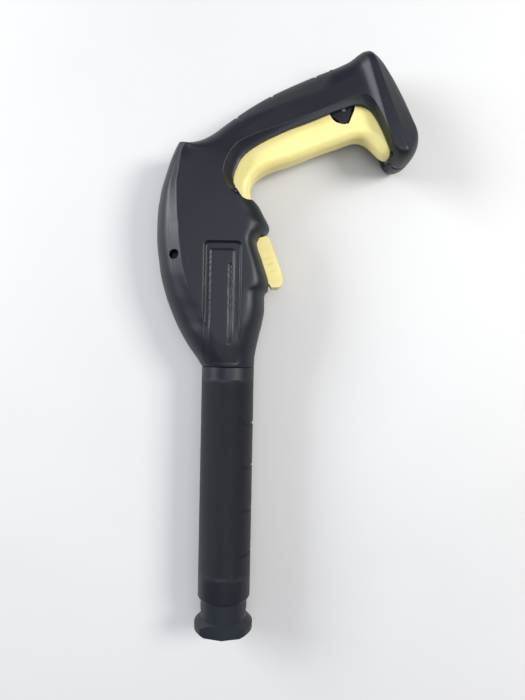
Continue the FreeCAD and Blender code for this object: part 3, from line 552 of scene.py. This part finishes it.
def details(p):
    """The points p with the name panel sunk and the grooves cut across the back of the grip."""
    x, y, z = p[..., 0], p[..., 1], p[..., 2]
    q = np.dstack([x, y, z - panel_depth(x, y) * (z > SIDE_FACE_Z)])
    for (ax, ay), (bx, by) in GRIP_GROOVES:
        length = math.hypot(bx - ax, by - ay)
        dx, dy = (bx - ax) / length, (by - ay) / length
        s = (x - ax) * dx + (y - ay) * dy
        t = -(x - ax) * dy + (y - ay) * dx
        cut = GRIP_GROOVE_SINK * np.exp(-(t / GRIP_GROOVE_HALF) ** 2)
        cut = cut * smooth((length + 1.5 - s) / 6.0) * (s > -6)
        at_spine = smooth((9 - s) / 9)
        q[..., 0] += dx * cut * at_spine
        q[..., 1] += dy * cut * at_spine
        q[..., 2] -= cut * 0.8 * smooth(s / 3)
    return q


# ------------------------------------------------------------------ housing: meshes and openings
MERGE = 0.00002                                      # m, points closer than this become one
WALL = 2.3
HALF_GAP = 0.03                                      # each half stays this far off the seam
PORT = np.array([-332.6, 24.6])                      # centre of the hose port's mouth
PORT_AXIS = np.array([-0.38, 0.925]) / math.hypot(0.38, 0.925)
BUSHING_HOLE_R, BUSHING_HOLE = 10.95, (-40, 6)       # radius, and ends along the port's axis
SEEN_SCREWS = [(-298.5, -41.9)]                      # in the left half
FAR_SCREWS = [(-376.0, -36.0), (-240.0, -27.5), (-331.0, -42.0), (-447.5, 78.0), (-384.0, 137.5)]
SCREW_HOLE_R, SCREW_HOLE_Z = 3.75, (9.0, 34.0)
TRIGGER_TIP = [(-352.0, 4.6), (-347.4, 6.6), (-342.9, 10.2), (-341.8, 13.4), (-342.6, 16.6),
               (-346.0, 20.0), (-352.0, 20.0)]       # room for the trigger's tip, right through
TRIGGER_TIP_HALF = 40.0
POCKET = [(-319.0, 36.0), (-316.4, 24.6), (-312.0, 12.0), (-274.0, 16.0), (-273.6, 48.0)]
POCKET_HALF = 9.7                                    # half the release button's pocket


def grid_mesh(name, pts, flip):
    """A smooth mesh through a grid of points, with its doubled points merged."""
    n, m = pts.shape[:2]
    index = np.arange(n * m).reshape(n, m)
    a, b = index[:-1, :-1].ravel(), index[1:, :-1].ravel()
    c, d = index[1:, 1:].ravel(), index[:-1, 1:].ravel()
    faces = np.stack([a, d, c, b] if flip else [a, b, c, d], 1)
    me = bpy.data.meshes.new(name)
    me.from_pydata((pts.reshape(-1, 3) * MM).tolist(), [], faces.tolist())
    bm = bmesh.new()
    bm.from_mesh(me)
    bmesh.ops.remove_doubles(bm, verts=bm.verts, dist=MERGE)
    bm.to_mesh(me)
    bm.free()
    smooth_faces(me)
    return me


def smooth_faces(me):
    me.polygons.foreach_set("use_smooth", [True] * len(me.polygons))


def face_outwards(me, side):
    """Turn every face so that the one furthest from the seam looks away from it."""
    bm = bmesh.new()
    bm.from_mesh(me)
    bmesh.ops.recalc_face_normals(bm, faces=bm.faces)
    outermost = max(bm.faces, key=lambda f: f.calc_center_median().z * side)
    if outermost.normal.z * side < 0:
        bmesh.ops.reverse_faces(bm, faces=bm.faces)
    bm.to_mesh(me)
    bm.free()


def cutter(fill):
    """A new object whose mesh the function fill makes."""
    bm = bmesh.new()
    fill(bm)
    me = bpy.data.meshes.new("cutter")
    bm.to_mesh(me)
    bm.free()
    o = bpy.data.objects.new("cutter", me)
    bpy.context.scene.collection.objects.link(o)
    return o


def cyl_cutter(p0, p1, r, segments):
    def fill(bm):
        a, b = Vector(p0) * MM, Vector(p1) * MM
        turn = (b - a).to_track_quat("Z", "Y").to_matrix().to_4x4()
        place = Matrix.Translation((a + b) / 2) @ turn
        bmesh.ops.create_cone(bm, cap_ends=True, segments=segments, radius1=r * MM,
                              radius2=r * MM, depth=(b - a).length, matrix=place)
    return cutter(fill)


def prism_cutter(outline, half):
    """The outline (x, y) drawn out from -half to half across the gun."""
    def fill(bm):
        low = [bm.verts.new((x * MM, y * MM, -half * MM)) for x, y in outline]
        high = [bm.verts.new((x * MM, y * MM, half * MM)) for x, y in outline]
        bm.faces.new(low[::-1])
        bm.faces.new(high)
        k = len(outline)
        for i in range(k):
            bm.faces.new((low[i], low[(i + 1) % k], high[(i + 1) % k], high[i]))
        bmesh.ops.recalc_face_normals(bm, faces=bm.faces)
    return cutter(fill)


def apply_modifiers(o):
    graph = bpy.context.evaluated_depsgraph_get()
    me = bpy.data.meshes.new_from_object(o.evaluated_get(graph))
    o.modifiers.clear()
    old = o.data
    o.data = me
    bpy.data.meshes.remove(old)


def thicken(o):
    mod = o.modifiers.new("wall", "SOLIDIFY")
    mod.thickness = WALL * MM
    mod.offset = -1.0
    mod.use_rim = True
    apply_modifiers(o)


def subtract(o, cutters):
    for c in cutters:
        mod = o.modifiers.new("cut", "BOOLEAN")
        mod.operation = "DIFFERENCE"
        mod.solver = "MANIFOLD"
        mod.object = c
    apply_modifiers(o)
    for c in cutters:
        bpy.data.objects.remove(c)


def port_point(t):
    """A point t along the port's axis, in the seam plane."""
    return (*(PORT + PORT_AXIS * t), 0)


def openings(side):
    """What is cut from one half: the port, the button's pocket, the trigger's tip, screws."""
    cutters = [cyl_cutter(*map(port_point, BUSHING_HOLE), BUSHING_HOLE_R, 96),
               prism_cutter(POCKET, POCKET_HALF), prism_cutter(TRIGGER_TIP, TRIGGER_TIP_HALF)]
    z0, z1 = sorted(side * z for z in SCREW_HOLE_Z)
    for x, y in (SEEN_SCREWS if side > 0 else FAR_SCREWS):
        cutters.append(cyl_cutter((x, y, z0), (x, y, z1), SCREW_HOLE_R, 48))
    return cutters


def make_half(points, side, name, cad_node):
    """side +1: left half, -1: right half. Outside skin, wall, then the openings."""
    pts = points.copy()
    pts[..., 2] = (pts[..., 2] + HALF_GAP) * side
    me = grid_mesh(name, pts, side > 0)
    o = bpy.data.objects.new(name, me)
    bpy.context.scene.collection.objects.link(o)
    face_outwards(me, side)
    thicken(o)
    subtract(o, openings(side))
    smooth_faces(o.data)
    dress(o, "housing")
    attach(o, "gun_body")
    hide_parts(cad_node)


outside = half_points()
make_half(outside, 1, "shell_left", "housing_left")
make_half(outside, -1, "shell_right", "housing_right")


# ------------------------------------------------------------------ floor
FLOOR_SIZE, FLOOR_CELLS = 6.0, 8                     # m along a side, and squares along it


def make_floor():
    """A plain pale floor that touches the bottom of the CAD's box."""
    ticks = [(i / FLOOR_CELLS - 0.5) * FLOOR_SIZE for i in range(FLOOR_CELLS + 1)]
    bm = bmesh.new()
    grid = [[bm.verts.new((MID[0] + dx, MID[1] + dy, cad_lo.z)) for dy in ticks] for dx in ticks]
    for i in range(FLOOR_CELLS):
        for j in range(FLOOR_CELLS):
            bm.faces.new((grid[i][j], grid[i + 1][j], grid[i + 1][j + 1], grid[i][j + 1]))
    me = bpy.data.meshes.new("floor")
    bm.to_mesh(me)
    bm.free()
    o = bpy.data.objects.new("floor", me)
    bpy.context.scene.collection.objects.link(o)
    m = Nodes("pale_floor")
    tone = m.noise(3.0, 5.0)
    pale, paler = (0.60, 0.585, 0.565), (0.64, 0.625, 0.605)
    m.drive("Base Color", m.mix(m.spread(tone, *NOISE_RANGE, 0, 1), pale, paler))
    m.drive("Roughness", m.spread(tone, *NOISE_RANGE, 0.55, 0.65))
    me.materials.append(m.mat)


make_floor()
